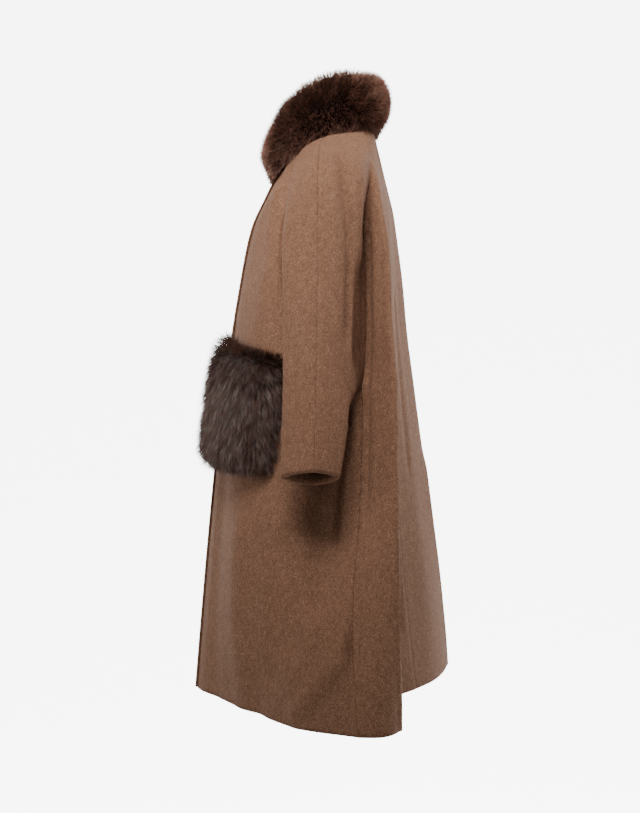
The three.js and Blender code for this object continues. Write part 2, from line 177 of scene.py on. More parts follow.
# neck: degrees round the neck seam from its front. rows: [height, distance from the middle, depth]
LINES = {
  "centre_front": {
    "neck": 0,
    "rows": [[-62, 0, -80], [-91, 0, -95], [-132, 0, -115], [-174, 0, -127], [-237, 0, -139],
      [-320, 0, -153], [-492, 0, -177], [-573, 0, -186], [-699, 0, -198], [-826, 0, -209],
      [-937, 0, -218]],
  },
  "front_fold": {
    "neck": 44,
    "rows": [[-62, 82, -47], [-90, 99, -60], [-128, 109, -67], [-160, 116, -74], [-235, 118, -93],
      [-320, 112, -112], [-421, 106, -131], [-573, 102, -150], [-699, 98, -163], [-826, 94, -173],
      [-937, 90, -181]],
  },
  "front_side": {
    "neck": 53,
    "rows": [[-62, 96, -38], [-90, 112, -44], [-128, 126, -50], [-160, 138, -56], [-235, 166, -62],
      [-320, 184, -64], [-421, 196, -72], [-573, 200, -92], [-699, 203, -104], [-826, 198, -110],
      [-937, 190, -109]],
  },
  "under_sleeve": {
    "neck": 58,
    "rows": [[-62, 102, -35], [-90, 118, -37], [-128, 133, -42], [-160, 148, -46], [-235, 176, -38],
      [-320, 196, -14], [-421, 224, 22], [-500, 246, 14], [-573, 268, 10], [-699, 306, 6],
      [-826, 338, 10], [-937, 358, 22]],
  },
  "raglan_front": {
    "neck": 63,
    "rows": [[-58, 104, -32], [-90, 116, -29], [-128, 131, -31], [-162, 144, -33], [-195, 157, -27],
      [-240, 170, -9], [-300, 181, 22], [-360, 194, 58], [-421, 212, 96]],
  },
  "sleeve_front": {
    "neck": 78,
    "rows": [[-26, 112, -14], [-60, 150, -23], [-100, 182, -25], [-140, 205, -25], [-190, 230, -24],
      [-245, 252, -21], [-300, 270, -20], [-360, 285, -18], [-440, 300, -17], [-560, 326, -15]],
  },
  "overarm": {
    "neck": 95,
    "rows": [[-10, 120, 19], [-28, 155, 21], [-52, 187, 24], [-90, 215, 27], [-140, 237, 29],
      [-188, 252, 31], [-260, 276, 35], [-333, 303, 38], [-410, 329, 40], [-486, 352, 42],
      [-547, 371, 43]],
  },
  "sleeve_back": {
    "neck": 116,
    "rows": [[-12, 112, 62], [-36, 150, 80], [-70, 184, 89], [-120, 207, 90], [-186, 225, 88],
      [-282, 246, 84], [-331, 261, 82], [-394, 276, 83], [-457, 291, 84], [-503, 305, 83],
      [-560, 322, 76]],
  },
  "raglan_back": {
    "neck": 137,
    "rows": [[-4, 84, 90], [-39, 103, 100], [-95, 130, 98], [-136, 148, 93], [-229, 162, 97],
      [-321, 177, 100], [-390, 194, 99], [-421, 212, 96]],
  },
  "underarm_seam": {
    "rows": [[-421, 212, 96], [-445, 229, 80], [-480, 248, 60], [-520, 268, 46], [-573, 291, 34]],
  },
  "side_seam": {
    "rows": [[-421, 212, 96], [-457, 221, 99], [-551, 249, 100], [-643, 281, 100], [-708, 307, 97],
      [-803, 342, 97], [-872, 374, 105], [-937, 402, 113]],
  },
}

# The back hangs differently on the two sides: a sharp fold on the left, a full round on the right.
BACK_LINES = {
  "left": {
    "back_side": {
      "neck": 146,
      "rows": [[-58, 106, 105], [-102, 138, 109], [-171, 165, 115], [-229, 180, 118], [-313, 200, 120],
        [-385, 219, 124], [-457, 244, 126], [-551, 273, 130], [-666, 309, 134], [-766, 346, 139],
        [-878, 384, 146], [-937, 398, 149]],
    },
    "back_fold": {
      "neck": 153,
      "rows": [[-58, 97, 107], [-102, 130, 115], [-171, 165, 129], [-231, 185, 136], [-313, 210, 141],
        [-385, 232, 149], [-457, 255, 153], [-551, 280, 157], [-666, 310, 161], [-766, 328, 165],
        [-878, 340, 169], [-937, 342, 170]],
    },
    "back_hollow": {
      "neck": 167,
      "rows": [[-58, 52, 109], [-171, 76, 120], [-313, 98, 121], [-457, 116, 120], [-551, 128, 119],
        [-666, 138, 118], [-766, 147, 117], [-937, 154, 116]],
    },
  },
  "right": {
    "back_side": {
      "neck": 146,
      "rows": [[-58, 106, 105], [-102, 138, 109], [-171, 164, 112], [-229, 180, 114], [-313, 202, 117],
        [-385, 222, 121], [-457, 246, 125], [-551, 272, 132], [-666, 302, 140], [-766, 330, 149],
        [-878, 356, 160], [-937, 366, 164]],
    },
    "back_fold": {
      "neck": 153,
      "rows": [[-58, 97, 107], [-102, 128, 114], [-171, 152, 122], [-231, 168, 128], [-313, 188, 134],
        [-385, 204, 142], [-457, 220, 150], [-551, 238, 161], [-666, 256, 174], [-766, 268, 186],
        [-878, 278, 197], [-937, 282, 201]],
    },
    "back_hollow": {
      "neck": 167,
      "rows": [[-58, 52, 109], [-171, 84, 121], [-313, 104, 130], [-457, 112, 145], [-551, 112, 155],
        [-666, 110, 168], [-766, 108, 180], [-937, 106, 196]],
    },
  },
}
CENTRE_BACK = {
  "neck": 180,
  "rows": [[-25, 0, 101], [-70, 0, 111], [-115, 0, 118], [-178, 0, 122], [-240, 0, 124],
    [-445, 0, 127], [-550, 0, 131], [-650, 0, 138], [-741, 0, 146], [-826, 0, 155],
    [-898, 0, 163], [-937, 0, 168]],
}


# %% [markdown]
# A line is read at any height by a smooth curve through its rows. A row of cloth is then a curve
# through the points of all the lines at one height. It is drawn dense and walked along with a tape
# measure, so the mesh gets columns at even spacing, and closer ones beside the seams.

# %% Reading the lines
CURVE_STEPS = 16  # of a curve between two of its stops
EDGE_STEPS = (1.6, 3.6, 6.5)  # from an edge to its next three columns


def neck_point(degrees):
    """A point of the neck seam, as [height, distance from the middle, depth]."""
    a = math.radians(degrees)
    z = NECK_FRONT_Z + (NECK_BACK_Z - NECK_FRONT_Z) * math.sin(a / 2) ** 1.1
    return [z, NECK_WIDTH * math.sin(a), NECK_Y - NECK_DEPTH * math.cos(a)]


def line_at(line, z):
    """The point of a line at height z."""
    rows = ([neck_point(line["neck"])] if "neck" in line else []) + line["rows"]
    last = len(rows) - 1
    i = 0
    while i < last - 1 and z < rows[i + 1][0]:
        i += 1

    def slope(k, axis):
        p, q = rows[max(k - 1, 0)], rows[min(k + 1, last)]
        return (q[axis] - p[axis]) / (q[0] - p[0])

    h = rows[i + 1][0] - rows[i][0]
    t = min(max((z - rows[i][0]) / h, 0), 1)
    value = [
        (2 * t**3 - 3 * t**2 + 1) * rows[i][axis] + (t**3 - 2 * t**2 + t) * h * slope(i, axis)
        + (3 * t**2 - 2 * t**3) * rows[i + 1][axis] + (t**3 - t**2) * h * slope(i + 1, axis)
        for axis in (1, 2)
    ]
    return np.array([value[0], value[1], z])


def upper_point(line, t):
    """The point of a line at share t of the way from the neck seam down to the underarm."""
    top = neck_point(line["neck"])[0]
    return line_at(line, top + (UNDERARM_Z - top) * t)


def curve_through(before, stops, after):
    """A dense smooth curve through stops, as points."""
    knots = [before, *stops, after]
    t = np.linspace(0, 1, CURVE_STEPS + 1)[1:, None]
    curve = [np.array(stops[0])[None]]
    for p0, p1, p2, p3 in zip(knots, knots[1:], knots[2:], knots[3:]):
        d0, d1, d2 = (max(np.linalg.norm(b - a) ** 0.5, 1e-4) for a, b in ((p0, p1), (p1, p2), (p2, p3)))
        m1 = ((p1 - p0) / d0 - (p2 - p0) / (d0 + d1) + (p2 - p1) / d1) * d1
        m2 = ((p2 - p1) / d1 - (p3 - p1) / (d1 + d2) + (p3 - p2) / d2) * d1
        curve.append((2 * t**3 - 3 * t**2 + 1) * p1 + (t**3 - 2 * t**2 + t) * m1
                     + (3 * t**2 - 2 * t**3) * p2 + (t**3 - t**2) * m2)
    return np.concatenate(curve)


def walk(curve, columns):
    """Points along a curve: a few close to each end, the rest evenly spaced."""
    along = np.concatenate([[0], np.cumsum(np.linalg.norm(np.diff(curve, axis=0), axis=1))])
    total = along[-1]
    near = [min(step, total * 0.08 * (k + 1)) for k, step in enumerate(EDGE_STEPS)]
    inner = np.linspace(near[-1], total - near[-1], columns - 2 * len(near))
    places = np.concatenate([[0], near[:-1], inner, [total - n for n in near[-2::-1]], [total]])
    return np.stack([np.interp(places, along, curve[:, k]) for k in range(3)], axis=1)


def beyond(end, other):
    return 2 * end - other


def across_middle(p):
    return np.array([-p[0], p[1], p[2]])


print("top of the neck seam", neck_point(180)[0], "mm up")

# %% [markdown]
# The rows of a front run from its free edge to the seam, and those of a back from the seam to the
# centre back. Above the arm that seam is the raglan seam, and below it the side seam. A sleeve is
# cut in two, and its halves meet over the arm and under it.

# %% Rows of each panel
FRONT_COLUMNS, BACK_COLUMNS, SLEEVE_COLUMNS = 84, 84, 34
UPPER_ROWS, SKIRT_ROWS, SLEEVE_ROWS = 60, 66, 26


def front_curve(point_of, seam):
    """The left front at one height, from its free edge to the seam."""
    middle = point_of(LINES["centre_front"])
    lap = np.array([LAP, middle[1] + LAP_RISE, middle[2]])
    fold, side, under = (point_of(LINES[k]) for k in ("front_fold", "front_side", "under_sleeve"))
    stops = [across_middle(lap), middle, lap, fold, side, under, seam]
    return curve_through(across_middle(fold), stops, beyond(seam, under))


def back_row(point_of, seam, side, other):
    lines = BACK_LINES[side]
    stops = [seam] + [point_of(lines[k]) for k in ("back_side", "back_fold", "back_hollow")]
    stops.append(point_of(CENTRE_BACK))
    opposite = across_middle(point_of(BACK_LINES[other]["back_hollow"]))
    return walk(curve_through(beyond(seam, stops[1]), stops, opposite), BACK_COLUMNS)


def sleeve_row(before, stops, after):
    return walk(curve_through(before, stops, after), SLEEVE_COLUMNS)


def half_coat(side, other):
    """Rows of points of the four panels of one half, both drawn as the left one."""
    panels = {"front": [], "sleeve_front": [], "sleeve_back": [], "back": []}
    for t in np.linspace(0, 1, UPPER_ROWS + 1):
        point_of = lambda line: upper_point(line, t)
        front, back = point_of(LINES["raglan_front"]), point_of(LINES["raglan_back"])
        fore, aft, over = (point_of(LINES[k]) for k in ("sleeve_front", "sleeve_back", "overarm"))
        panels["front"].append(walk(front_curve(point_of, front), FRONT_COLUMNS))
        panels["back"].append(back_row(point_of, back, side, other))
        panels["sleeve_front"].append(sleeve_row(beyond(front, fore), [front, fore, over], aft))
        panels["sleeve_back"].append(sleeve_row(fore, [over, aft, back], beyond(back, aft)))
    for t in np.linspace(0, 1, SKIRT_ROWS + 1)[1:]:
        point_of = lambda line: line_at(line, UNDERARM_Z + (HEM_Z - UNDERARM_Z) * t)
        seam = point_of(LINES["side_seam"])
        panels["front"].append(walk(front_curve(point_of, seam), FRONT_COLUMNS))
        panels["back"].append(back_row(point_of, seam, side, other))
    for t in np.linspace(0, 1, SLEEVE_ROWS + 1)[1:]:
        level = lambda end: UNDERARM_Z + (end - UNDERARM_Z) * t
        under = line_at(LINES["underarm_seam"], level(CUFF_INNER_Z))
        fore = line_at(LINES["sleeve_front"], level(CUFF_MIDDLE_Z))
        aft = line_at(LINES["sleeve_back"], level(CUFF_MIDDLE_Z))
        over = line_at(LINES["overarm"], level(CUFF_OUTER_Z))
        ahead = beyond(under, fore) * (1 - t) + aft * t
        behind = beyond(under, aft) * (1 - t) + fore * t
        panels["sleeve_front"].append(sleeve_row(ahead, [under, fore, over], aft))
        panels["sleeve_back"].append(sleeve_row(fore, [over, aft, under], behind))
    return {piece: np.array(rows) for piece, rows in panels.items()}


sheets = {}
for side, other in (("left", "right"), ("right", "left")):
    for piece, rows in half_coat(side, other).items():
        sheets[f"{piece}_{side}"] = rows * ([1, 1, 1] if side == "left" else [-1, 1, 1])
for name, rows in sheets.items():
    print(name, "rows", rows.shape[0], "columns", rows.shape[1])

# %% [markdown]
# A fold has to move the cloth straight out or in, so every point needs its outward direction. It is
# summed from the faces round the point, over all the panels at once: where two panels are sewn
# together they then share one direction, and the seam stays closed.

# %% Outward directions
POINTS_PER_MM = 20  # points closer than this count as one


def unit(v):
    return v / np.maximum(np.linalg.norm(v, axis=-1, keepdims=True), 1e-9)


def outward_directions(sheets):
    keys, ids = {}, {}
    for name, rows in sheets.items():
        flat = np.round(rows.reshape(-1, 3) * POINTS_PER_MM).astype(int)
        ids[name] = np.array([keys.setdefault(tuple(p), len(keys)) for p in flat]).reshape(rows.shape[:2])
    sums = np.zeros((len(keys), 3))
    for name, rows in sheets.items():
        sign = 1 if name.endswith("left") else -1
        a, b, c, d = rows[:-1, :-1], rows[1:, :-1], rows[1:, 1:], rows[:-1, 1:]
        n = sign * np.cross(c - a, d - b)
        i = ids[name]
        for corner in (i[:-1, :-1], i[1:, :-1], i[1:, 1:], i[:-1, 1:]):
            np.add.at(sums, corner.ravel(), n.reshape(-1, 3))
    return {name: unit(sums)[ids[name]] for name in sheets}


outward = outward_directions(sheets)
print("front faces out:", bool(outward["front_left"][20, 10, 1] < 0))

# %% [markdown]
# Wool hangs in a few soft folds that start where it is sewn or held. Each crease here is a short path
# on one panel, as the share of the way across and the height, with a width and a depth in
# millimetres. Negative depth is a valley. The far side has its own folds, alike but not the same.

# %% Creases
CREASE_FADE = 55.0  # the height over which a crease starts or ends

# panel: (path of (across, z), half width, depth)
CREASES = {
    "sleeve_back_left": [
        ([(0.30, -53), (0.315, -96), (0.41, -153), (0.45, -218), (0.45, -283), (0.45, -340)], 12, -13.0),
        ([(0.50, -66), (0.58, -101), (0.66, -150)], 9, 3.0),
        ([(0.72, -230), (0.72, -300), (0.72, -380)], 22, -11.0),
        ([(0.20, -150), (0.22, -250), (0.24, -330)], 14, 1.8),
        ([(0.96, -150), (0.96, -260), (0.96, -380)], 9, -4.0),
        ([(0.34, -395), (0.52, -425), (0.75, -440)], 13, -2.6),
        ([(0.25, -452), (0.48, -478), (0.72, -490)], 12, 2.0),
    ],
    "sleeve_front_left": [
        ([(0.58, -127), (0.58, -169), (0.52, -198), (0.56, -260)], 10, 2.6),
        ([(0.78, -200), (0.76, -285), (0.74, -355)], 14, -1.8),
        ([(0.30, -380), (0.52, -408), (0.78, -414)], 13, -2.4),
        ([(0.35, -470), (0.60, -492)], 12, 2.0),
    ],
    "sleeve_back_right": [
        ([(0.32, -90), (0.40, -160), (0.47, -250), (0.52, -330)], 11, -6.0),
        ([(0.50, -120), (0.60, -200), (0.66, -280)], 10, 2.6),
        ([(0.30, -405), (0.55, -432), (0.78, -440)], 14, -3.2),
        ([(0.24, -470), (0.50, -490)], 12, 2.2),
    ],
    "sleeve_front_right": [
        ([(0.56, -140), (0.57, -200), (0.54, -270)], 11, 2.2),
        ([(0.70, -230), (0.68, -300), (0.66, -372)], 16, -2.6),
        ([(0.35, -400), (0.60, -425)], 13, -2.6),
    ],
    "front_left": [
        ([(0.78, -66), (0.80, -88), (0.775, -128), (0.79, -160)], 7, 3.2),
        ([(0.94, -66), (0.94, -89), (0.955, -128), (0.955, -170), (0.93, -210), (0.90, -279)], 10, -9.0),
        ([(0.955, -450), (0.955, -560), (0.95, -650)], 9, -13.0),
        ([(0.90, -545), (0.90, -650), (0.89, -755)], 34, -22.0),
        ([(0.82, -600), (0.81, -720), (0.79, -825)], 34, -17.0),
        ([(0.73, -660), (0.71, -780), (0.69, -880)], 32, -10.0),
        ([(0.99, -800), (0.965, -830), (0.90, -868), (0.84, -900), (0.81, -918)], 21, 12.0),
        ([(0.52, -640), (0.50, -760), (0.49, -937)], 34, 5.0),
        ([(0.62, -660), (0.60, -790), (0.59, -937)], 26, -4.0),
        ([(0.32, -330), (0.30, -470), (0.30, -620), (0.29, -937)], 34, -3.5),
    ],
    "front_right": [
        ([(0.78, -70), (0.79, -110), (0.78, -170)], 8, 2.6),
        ([(0.93, -80), (0.94, -140), (0.92, -220)], 11, -7.0),
        ([(0.84, -590), (0.82, -700), (0.84, -937)], 32, 5.0),
        ([(0.68, -600), (0.66, -760), (0.64, -937)], 30, -6.0),
        ([(0.50, -620), (0.47, -780), (0.46, -937)], 34, 4.0),
        ([(0.33, -300), (0.31, -480), (0.30, -937)], 36, -3.0),
    ],
    "back_left": [
        ([(0.03, -150), (0.03, -300), (0.03, -450), (0.03, -600)], 8, -5.0),
        ([(0.14, -80), (0.19, -180), (0.21, -313), (0.22, -385), (0.19, -551), (0.18, -666), (0.20, -878),
          (0.21, -937)], 6, 4.2),
        ([(0.30, -230), (0.32, -420), (0.31, -640), (0.32, -937)], 13, -5.0),
        ([(0.45, -560), (0.46, -720), (0.47, -937)], 26, 3.0),
        ([(0.95, -640), (0.93, -740), (0.92, -820)], 11, -4.0),
    ],
    "back_right": [
        ([(0.04, -150), (0.04, -330), (0.05, -480)], 9, -4.0),
        ([(0.16, -100), (0.20, -220), (0.22, -360), (0.24, -520), (0.24, -700)], 7, 2.2),
        ([(0.12, -560), (0.14, -700), (0.16, -937)], 26, -5.0),
        ([(0.34, -560), (0.36, -720), (0.37, -937)], 28, 4.0),
        ([(0.74, -260), (0.75, -420), (0.77, -560)], 12, -2.4),
    ],
}


def smooth_step(x, low, high):
    t = np.clip((x - low) / (high - low), 0, 1)
    return t * t * (3 - 2 * t)


def along_rows(rows):
    """How far each point is from the start of its row, measured over the cloth."""
    steps = np.linalg.norm(np.diff(rows, axis=1), axis=2)
    return np.concatenate([np.zeros((rows.shape[0], 1)), np.cumsum(steps, axis=1)], axis=1)


def crease_height(rows, creases):
    """How far each point of a panel moves out, summed over its creases."""
    along = along_rows(rows)
    z = rows[:, :, 2]
    height = np.zeros(rows.shape[:2])
    for path, half_width, root_shade in creases:
        shares, levels = np.array(path).T
        order = np.argsort(levels)
        off = along - np.interp(z, levels[order], shares[order]) * along[:, -1:]
        high, low = levels.max(), levels.min()
        top = 1 - smooth_step(z, high - 0.3 * CREASE_FADE, high + 0.7 * CREASE_FADE)
        foot = smooth_step(z, low - 0.7 * CREASE_FADE, low + 0.3 * CREASE_FADE) if low > HEM_Z else 1
        height += root_shade * np.exp(-((off / half_width) ** 2)) * top * foot
    return height


print("creases", sum(len(creases) for creases in CREASES.values()))

# %% [markdown]
# The two fronts are lapped, so the left one is laid a cloth's thickness lower near the middle. Where
# two pieces are sewn together the cloth dips into the stitching, and the wall is thicker where the
# cuffs are turned up. Each row of a panel has a seam at both ends, except at a front's free edge.

# %% Thickness and seams
SEAM_DIP, SEAM_REACH = 0.8, 4.0
SEAM_TRIM, CROWDED_TRIM = 0.08, 0.7  # off each sewn edge, and where four pieces meet under the arm
CROWDED_ROWS = 4
FOLD_STARTS = 14  # from a seam to where a crease has its full depth
LAP_GAP, LAP_EASE = 0.5, 45  # between the lapped fronts, and how far the lower one takes to rise


def seam_distance(name):
    """How far each point of a panel is from its nearest seam."""
    along = along_rows(sheets[name])
    to_last = along[:, -1:] - along
    return to_last if name.startswith("front") else np.minimum(along, to_last)


def trimmed(points, name):
    """Takes a little off each sewn edge, and more near the underarm, but not over the arm."""
    points = points.copy()
    crowded = np.abs(np.arange(len(points)) - UPPER_ROWS) < CROWDED_ROWS
    overarm_edge = {"sleeve_front": -1, "sleeve_back": 0}.get(name.rpartition("_")[0])
    edges = [(-1, -2)] if name.startswith("front") else [(0, 1), (-1, -2)]
    for end, near in edges:
        trim = np.where(crowded & (end != overarm_edge), CROWDED_TRIM, SEAM_TRIM)[:, None]
        points[:, end] += unit(points[:, near] - points[:, end]) * trim
    return points


def panel_sheets(name):
    """Outer and inner points of a panel."""
    rows, out = sheets[name], outward[name]
    lower = np.zeros(rows.shape[:2])
    if name == "front_left":
        lower = (CLOTH + LAP_GAP) * (1 - smooth_step(rows[:, :, 0], LAP + 2, LAP + LAP_EASE))
    sewn = seam_distance(name)
    dip = SEAM_DIP * np.exp(-((sewn / SEAM_REACH) ** 2))
    fold = crease_height(rows, CREASES[name]) * smooth_step(sewn, 0, FOLD_STARTS)
    outer = rows + out * (fold - lower - dip)[:, :, None]
    thick = np.full(rows.shape[:2], CLOTH)
    if name.startswith("sleeve"):
        cuff = smooth_step(np.arange(len(rows)), len(rows) - 6, len(rows) - 3)
        thick += (CUFF_FOLD - CLOTH) * cuff[:, None]
    inner = outer - out * thick[:, :, None]
    return trimmed(outer, name), trimmed(inner, name)


print("longest row of a front", round(along_rows(sheets["front_left"]).max()), "mm")

# %% [markdown]
# A panel is closed from its outer and inner sheet. One more row of points, halfway through the cloth,
# runs round the edge, so that the hem, the cuffs and the front edges look pressed and not cut. Here
# the points are plain numbers and not shaped by hand, because each seam has to meet its neighbour's.

# %% Panels of cloth
def new_piece(name, points, faces):
    """A smooth piece from points in millimetres, which rides with the coat."""
    mesh = bpy.data.meshes.new(name)
    mesh.from_pydata((points / 1000).tolist(), [], faces)
    mesh.validate()
    mesh.polygons.foreach_set("use_smooth", np.ones(len(mesh.polygons), dtype=bool))
    piece = bpy.data.objects.new(name, mesh)
    bpy.context.collection.objects.link(piece)
    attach(piece, "root")
    return piece


def grid_faces(rows, columns, start=0):
    """The faces of a sheet whose first point has the number start."""
    at = start + np.arange(rows * columns).reshape(rows, columns)
    return np.stack([at[:-1, :-1], at[1:, :-1], at[1:, 1:], at[:-1, 1:]], axis=-1).reshape(-1, 4)


def rim_faces(rows, columns):
    """The points round a sheet's edge, and the faces that go from there to the inner sheet."""
    at = np.arange(rows * columns).reshape(rows, columns)
    loop = np.concatenate([at[0, :-1], at[:-1, -1], at[-1, :0:-1], at[:0:-1, 0]])
    following = np.roll(loop, -1)
    middle = 2 * rows * columns + np.arange(len(loop))
    after = np.roll(middle, -1)
    inner = rows * columns
    return loop, np.concatenate([
        np.stack([loop, following, after, middle], axis=1),
        np.stack([middle, after, following + inner, loop + inner], axis=1),
    ])


def closed_wall(name, outer, inner):
    """A closed piece between two sheets. The right side's sheets are mirrored, so its faces are turned."""
    rows, columns = outer.shape[:2]
    edge, rim = rim_faces(rows, columns)
    outer, inner = outer.reshape(-1, 3), inner.reshape(-1, 3)
    points = np.concatenate([outer, inner, (outer[edge] + inner[edge]) / 2])
    faces_in = grid_faces(rows, columns, rows * columns)[:, ::-1]
    faces = np.concatenate([grid_faces(rows, columns), faces_in, rim])
    if name.endswith("right"):
        faces = faces[:, ::-1]
    return new_piece(name, points, faces.tolist())


panels = {name: closed_wall("cloth_" + name, *panel_sheets(name)) for name in sheets}
for name, piece in panels.items():
    print(name, len(piece.data.polygons) * 2, "triangles")

# %% [markdown]
# The cloth is a melange: brown fibres of several shades, brushed downwards into a short nap, dull but
# for a faint sheen at a slant. One noise, stretched along the height, gives the flecks, and a broader
# one the cloudy patches that the brushing leaves. A finer one joins the flecks to raise the nap.

# %% Wool
FLECKS, FIBRES, CLOUDS = 700.0, 1100.0, 150.0  # in a metre: 1.4, 0.9 and 6.7 mm apart
NAP_DEPTH = 0.0012
wool = bpy.data.materials.new("brushed_melange_wool")
wool.use_nodes = True
wool_shader = wool.node_tree.nodes["Principled BSDF"]
place = add_node(wool, "ShaderNodeTexCoord")
strands = add_node(wool, "ShaderNodeMapping", {"Scale": (1, 1, 0.55)}, {"Vector": (place, "Object")})
on_strands = {"Vector": (strands, "Vector")}
fleck = add_node(wool, "ShaderNodeTexNoise", {"Scale": FLECKS, "Detail": 3.0, "Roughness": 0.6}, on_strands)
fibre = add_node(wool, "ShaderNodeTexNoise", {"Scale": FIBRES, "Detail": 2.0}, on_strands)
cloud = add_node(wool, "ShaderNodeTexNoise", {"Scale": CLOUDS, "Detail": 4.0, "Roughness": 0.6}, on_strands)
mixed = add_node(wool, "ShaderNodeMath", {"operation": "MULTIPLY_ADD", 1: 0.78}, {0: (fleck, "Fac")})
half_cloud = add_node(wool, "ShaderNodeMath", {"operation": "MULTIPLY", 1: 0.22}, {0: (cloud, "Fac")})
wool.node_tree.links.new(half_cloud.outputs[0], mixed.inputs[2])
wool_colour = ramp(add_node(wool, "ShaderNodeValToRGB", links={"Fac": (mixed, "Value")}),
                   [(0.30, "#4f382b"), (0.44, "#684a39"), (0.55, "#7a5945"), (0.70, "#94735d")])
wool.node_tree.links.new(wool_colour.outputs["Color"], wool_shader.inputs["Base Color"])
nap_height = add_node(wool, "ShaderNodeMath", {"operation": "ADD"}, {0: (fleck, "Fac"), 1: (fibre, "Fac")})
nap_settings = {"Strength": 0.5, "Distance": NAP_DEPTH}
nap = add_node(wool, "ShaderNodeBump", nap_settings, {"Height": (nap_height, "Value")})
wool.node_tree.links.new(nap.outputs["Normal"], wool_shader.inputs["Normal"])
wool_shader.inputs["Roughness"].default_value = 0.95
wool_shader.inputs["Specular IOR Level"].default_value = 0.1
wool_shader.inputs["Sheen Weight"].default_value = 0.05
wool_shader.inputs["Sheen Roughness"].default_value = 0.5
wool_shader.inputs["Sheen Tint"].default_value = linear("#c9a68f")
print("wool nodes", len(wool.node_tree.nodes))

# %% [markdown]
# Each panel is dressed in the wool, and the frame's wall of the same name is hidden below it.

# %% Wool on the panels
for name, piece in panels.items():
    piece.data.materials.append(wool)
    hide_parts(name)

# %% [markdown]
# Fur is thousands of tapering hairs that grow out of a pelt. A pelt is padded: it has a soft core, and
# the hairs stand out from it, lie over one way and fall into locks. Each hair here is a narrow blade
# that bends as it grows and ends in a point. The locks come from a slow wave that turns all the hairs
# of one spot the same way. The numbers come from a seeded generator, so every run grows the same fur.

# %% Growing hair
BLADE_STEPS = 3
BLADE_POINTS = 2 * BLADE_STEPS + 1
LOCK_WAVES = 7  # summed into one


def scattered(triangles, count, random):
    """Random points on triangles, their normals and the triangle each one is on."""
    a, b, c = triangles[:, 0], triangles[:, 1], triangles[:, 2]
    n = np.cross(b - a, c - a)
    area = np.linalg.norm(n, axis=1)
    pick = random.choice(len(triangles), count, p=area / area.sum())
    u, v = random.random((2, count))
    flip = u + v > 1
    u, v = np.where(flip, 1 - u, u), np.where(flip, 1 - v, v)
    points = a[pick] + (b - a)[pick] * u[:, None] + (c - a)[pick] * v[:, None]
    return points, unit(n)[pick], pick


def lock_wave(points, size, seed):
    """A slow random wave in space, three numbers for each point, to gather hairs into locks."""
    random = np.random.default_rng(seed)
    total = np.zeros((len(points), 3))
    for _ in range(LOCK_WAVES):
        direction = random.normal(size=3)
        direction /= np.linalg.norm(direction) * size * random.uniform(0.7, 1.5)
        wave = np.sin(points @ direction * 2 * math.pi + random.uniform(0, 6.28, 1))
        total += wave[:, None] * random.normal(size=3)
    return total / 2.6


def blades(roots, normals, lie, length, width, bend, random):
    """Hair blades as points, faces and (random tone, share along the hair) for each point."""
    count = len(roots)
    start = unit(normals * (1 - bend[:, None] * 0.45) + lie * bend[:, None] * 0.6)
    finish = unit(normals * (1 - bend[:, None]) + lie * (0.25 + bend[:, None]))
    side = unit(np.cross(start, random.normal(size=(count, 3))))
    tone = random.random(count)
    points, shares = [], []
    spine = roots.copy()
    for k in range(BLADE_STEPS):
        share = k / BLADE_STEPS
        half = width[:, None] * (1 - 0.55 * share**2) / 2
        points += [spine - side * half, spine + side * half]
        shares += [share, share]
        share = (k + 1) / BLADE_STEPS
        spine = spine + unit(start * (1 - share) + finish * share) * (length / BLADE_STEPS)[:, None]
    points = np.stack([*points, spine], axis=1).reshape(-1, 3)
    at = np.arange(count)[:, None] * BLADE_POINTS
    faces = [(at + [k, k + 1, k + 3, k + 2]).tolist() for k in range(0, BLADE_POINTS - 3, 2)]
    faces.append((at + [BLADE_POINTS - 3, BLADE_POINTS - 2, BLADE_POINTS - 1]).tolist())
    tones = np.stack([np.repeat(tone, BLADE_POINTS), np.tile([*shares, 1.0], count)], axis=1)
    return points, sum(faces, []), tones


print("points of a hair", BLADE_POINTS)

# %% [markdown]
# The collar is a strip of fur folded over a soft core and sewn round the neck. Its section is drawn at
# each point of the neck seam as (out, up) shares of the strip's depth and height: it starts on the
# seam, lies a little way over the cloth, and stands up in a full round. In front its foot swells
# forward and lies further over the cloth. Its two ends meet there, with only the hair between them.

# %% Collar pelt
COLLAR_HEIGHT, COLLAR_DEPTH = 92, 44
COLLAR_RISE, COLLAR_CREST = 6, 22  # how much higher it is behind than in front, and at its sides
COLLAR_LEAN_BACK, COLLAR_LEAN_FRONT, COLLAR_FRONT_SWELL = 4, 1, 15
COLLAR_OVERLAP_BACK, COLLAR_OVERLAP_FRONT, COLLAR_LIP = 6, 19, 1.6
COLLAR_END = 1.5  # from the middle of the front to each end
COLLAR_CORE = [
    (0.20, 0.14), (0.31, 0.26), (0.36, 0.41), (0.35, 0.56), (0.28, 0.71), (0.14, 0.82), (-0.02, 0.85),
    (-0.17, 0.80), (-0.27, 0.66), (-0.31, 0.48), (-0.27, 0.30), (-0.18, 0.14),
]


def neck_ring(side):
    """Points of one side's neck seam, those three rows below, and the outward directions of both."""
    parts = []
    for piece in ("front", "sleeve_front", "sleeve_back", "back"):
        rows, out = sheets[f"{piece}_{side}"], outward[f"{piece}_{side}"]
        from_middle = rows[0, :, 0] * (1 if side == "left" else -1)
        start = int(np.argmax(from_middle >= 0)) if piece == "front" else 1
        parts.append(np.stack([rows[0, start::2], rows[3, start::2], out[0, start::2], out[3, start::2]]))
    return np.concatenate(parts, axis=1)


